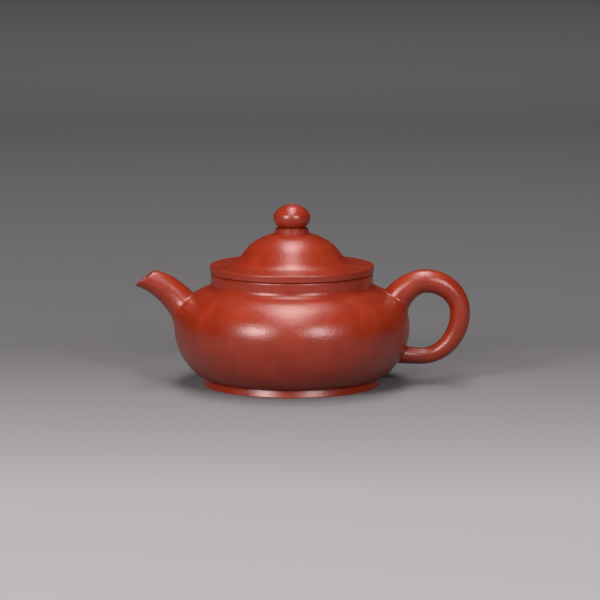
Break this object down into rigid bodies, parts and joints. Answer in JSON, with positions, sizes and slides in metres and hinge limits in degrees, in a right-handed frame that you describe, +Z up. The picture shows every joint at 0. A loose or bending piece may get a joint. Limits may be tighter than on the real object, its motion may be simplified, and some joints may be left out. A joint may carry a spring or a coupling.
{
  "type": "teapot",
  "caption": "Small round teapot of unglazed red-brown clay with a short wide spout, ear-shaped handle, foot ring and loose domed lid with a bun-shaped knob.",
  "frame": {"origin": "where the pot's axis meets the table, in the plane of the foot ring", "axes": "+Z up, -X towards the spout, +X towards the handle, -Y towards the side that faces the viewer with the spout on the left"},
  "size_m": [0.1451, 0.102, 0.0781],
  "materials": {
    "clay": "unglazed, satin",
    "clay_inside": "unglazed, matte"
  },
  "bodies": {
    "pot": {"base_disc": "clay_inside", "foot_ring": "clay", "belly_wall": "clay", "shoulder_disc": "clay", "neck_ring": "clay", "spout": "clay", "ball_strainer": "clay_inside", "handle": "clay"},
    "lid": {"lid_rim": "clay", "lid_dome": "clay", "lid_flange": "clay_inside", "knob_collar": "clay", "knob": "clay"}
  },
  "joints": [
    {"name": "lid_lift", "type": "slide", "parent": "pot", "child": "lid", "axis": [0, 0, 1], "range_m": [0, 0.08]}
  ]
}
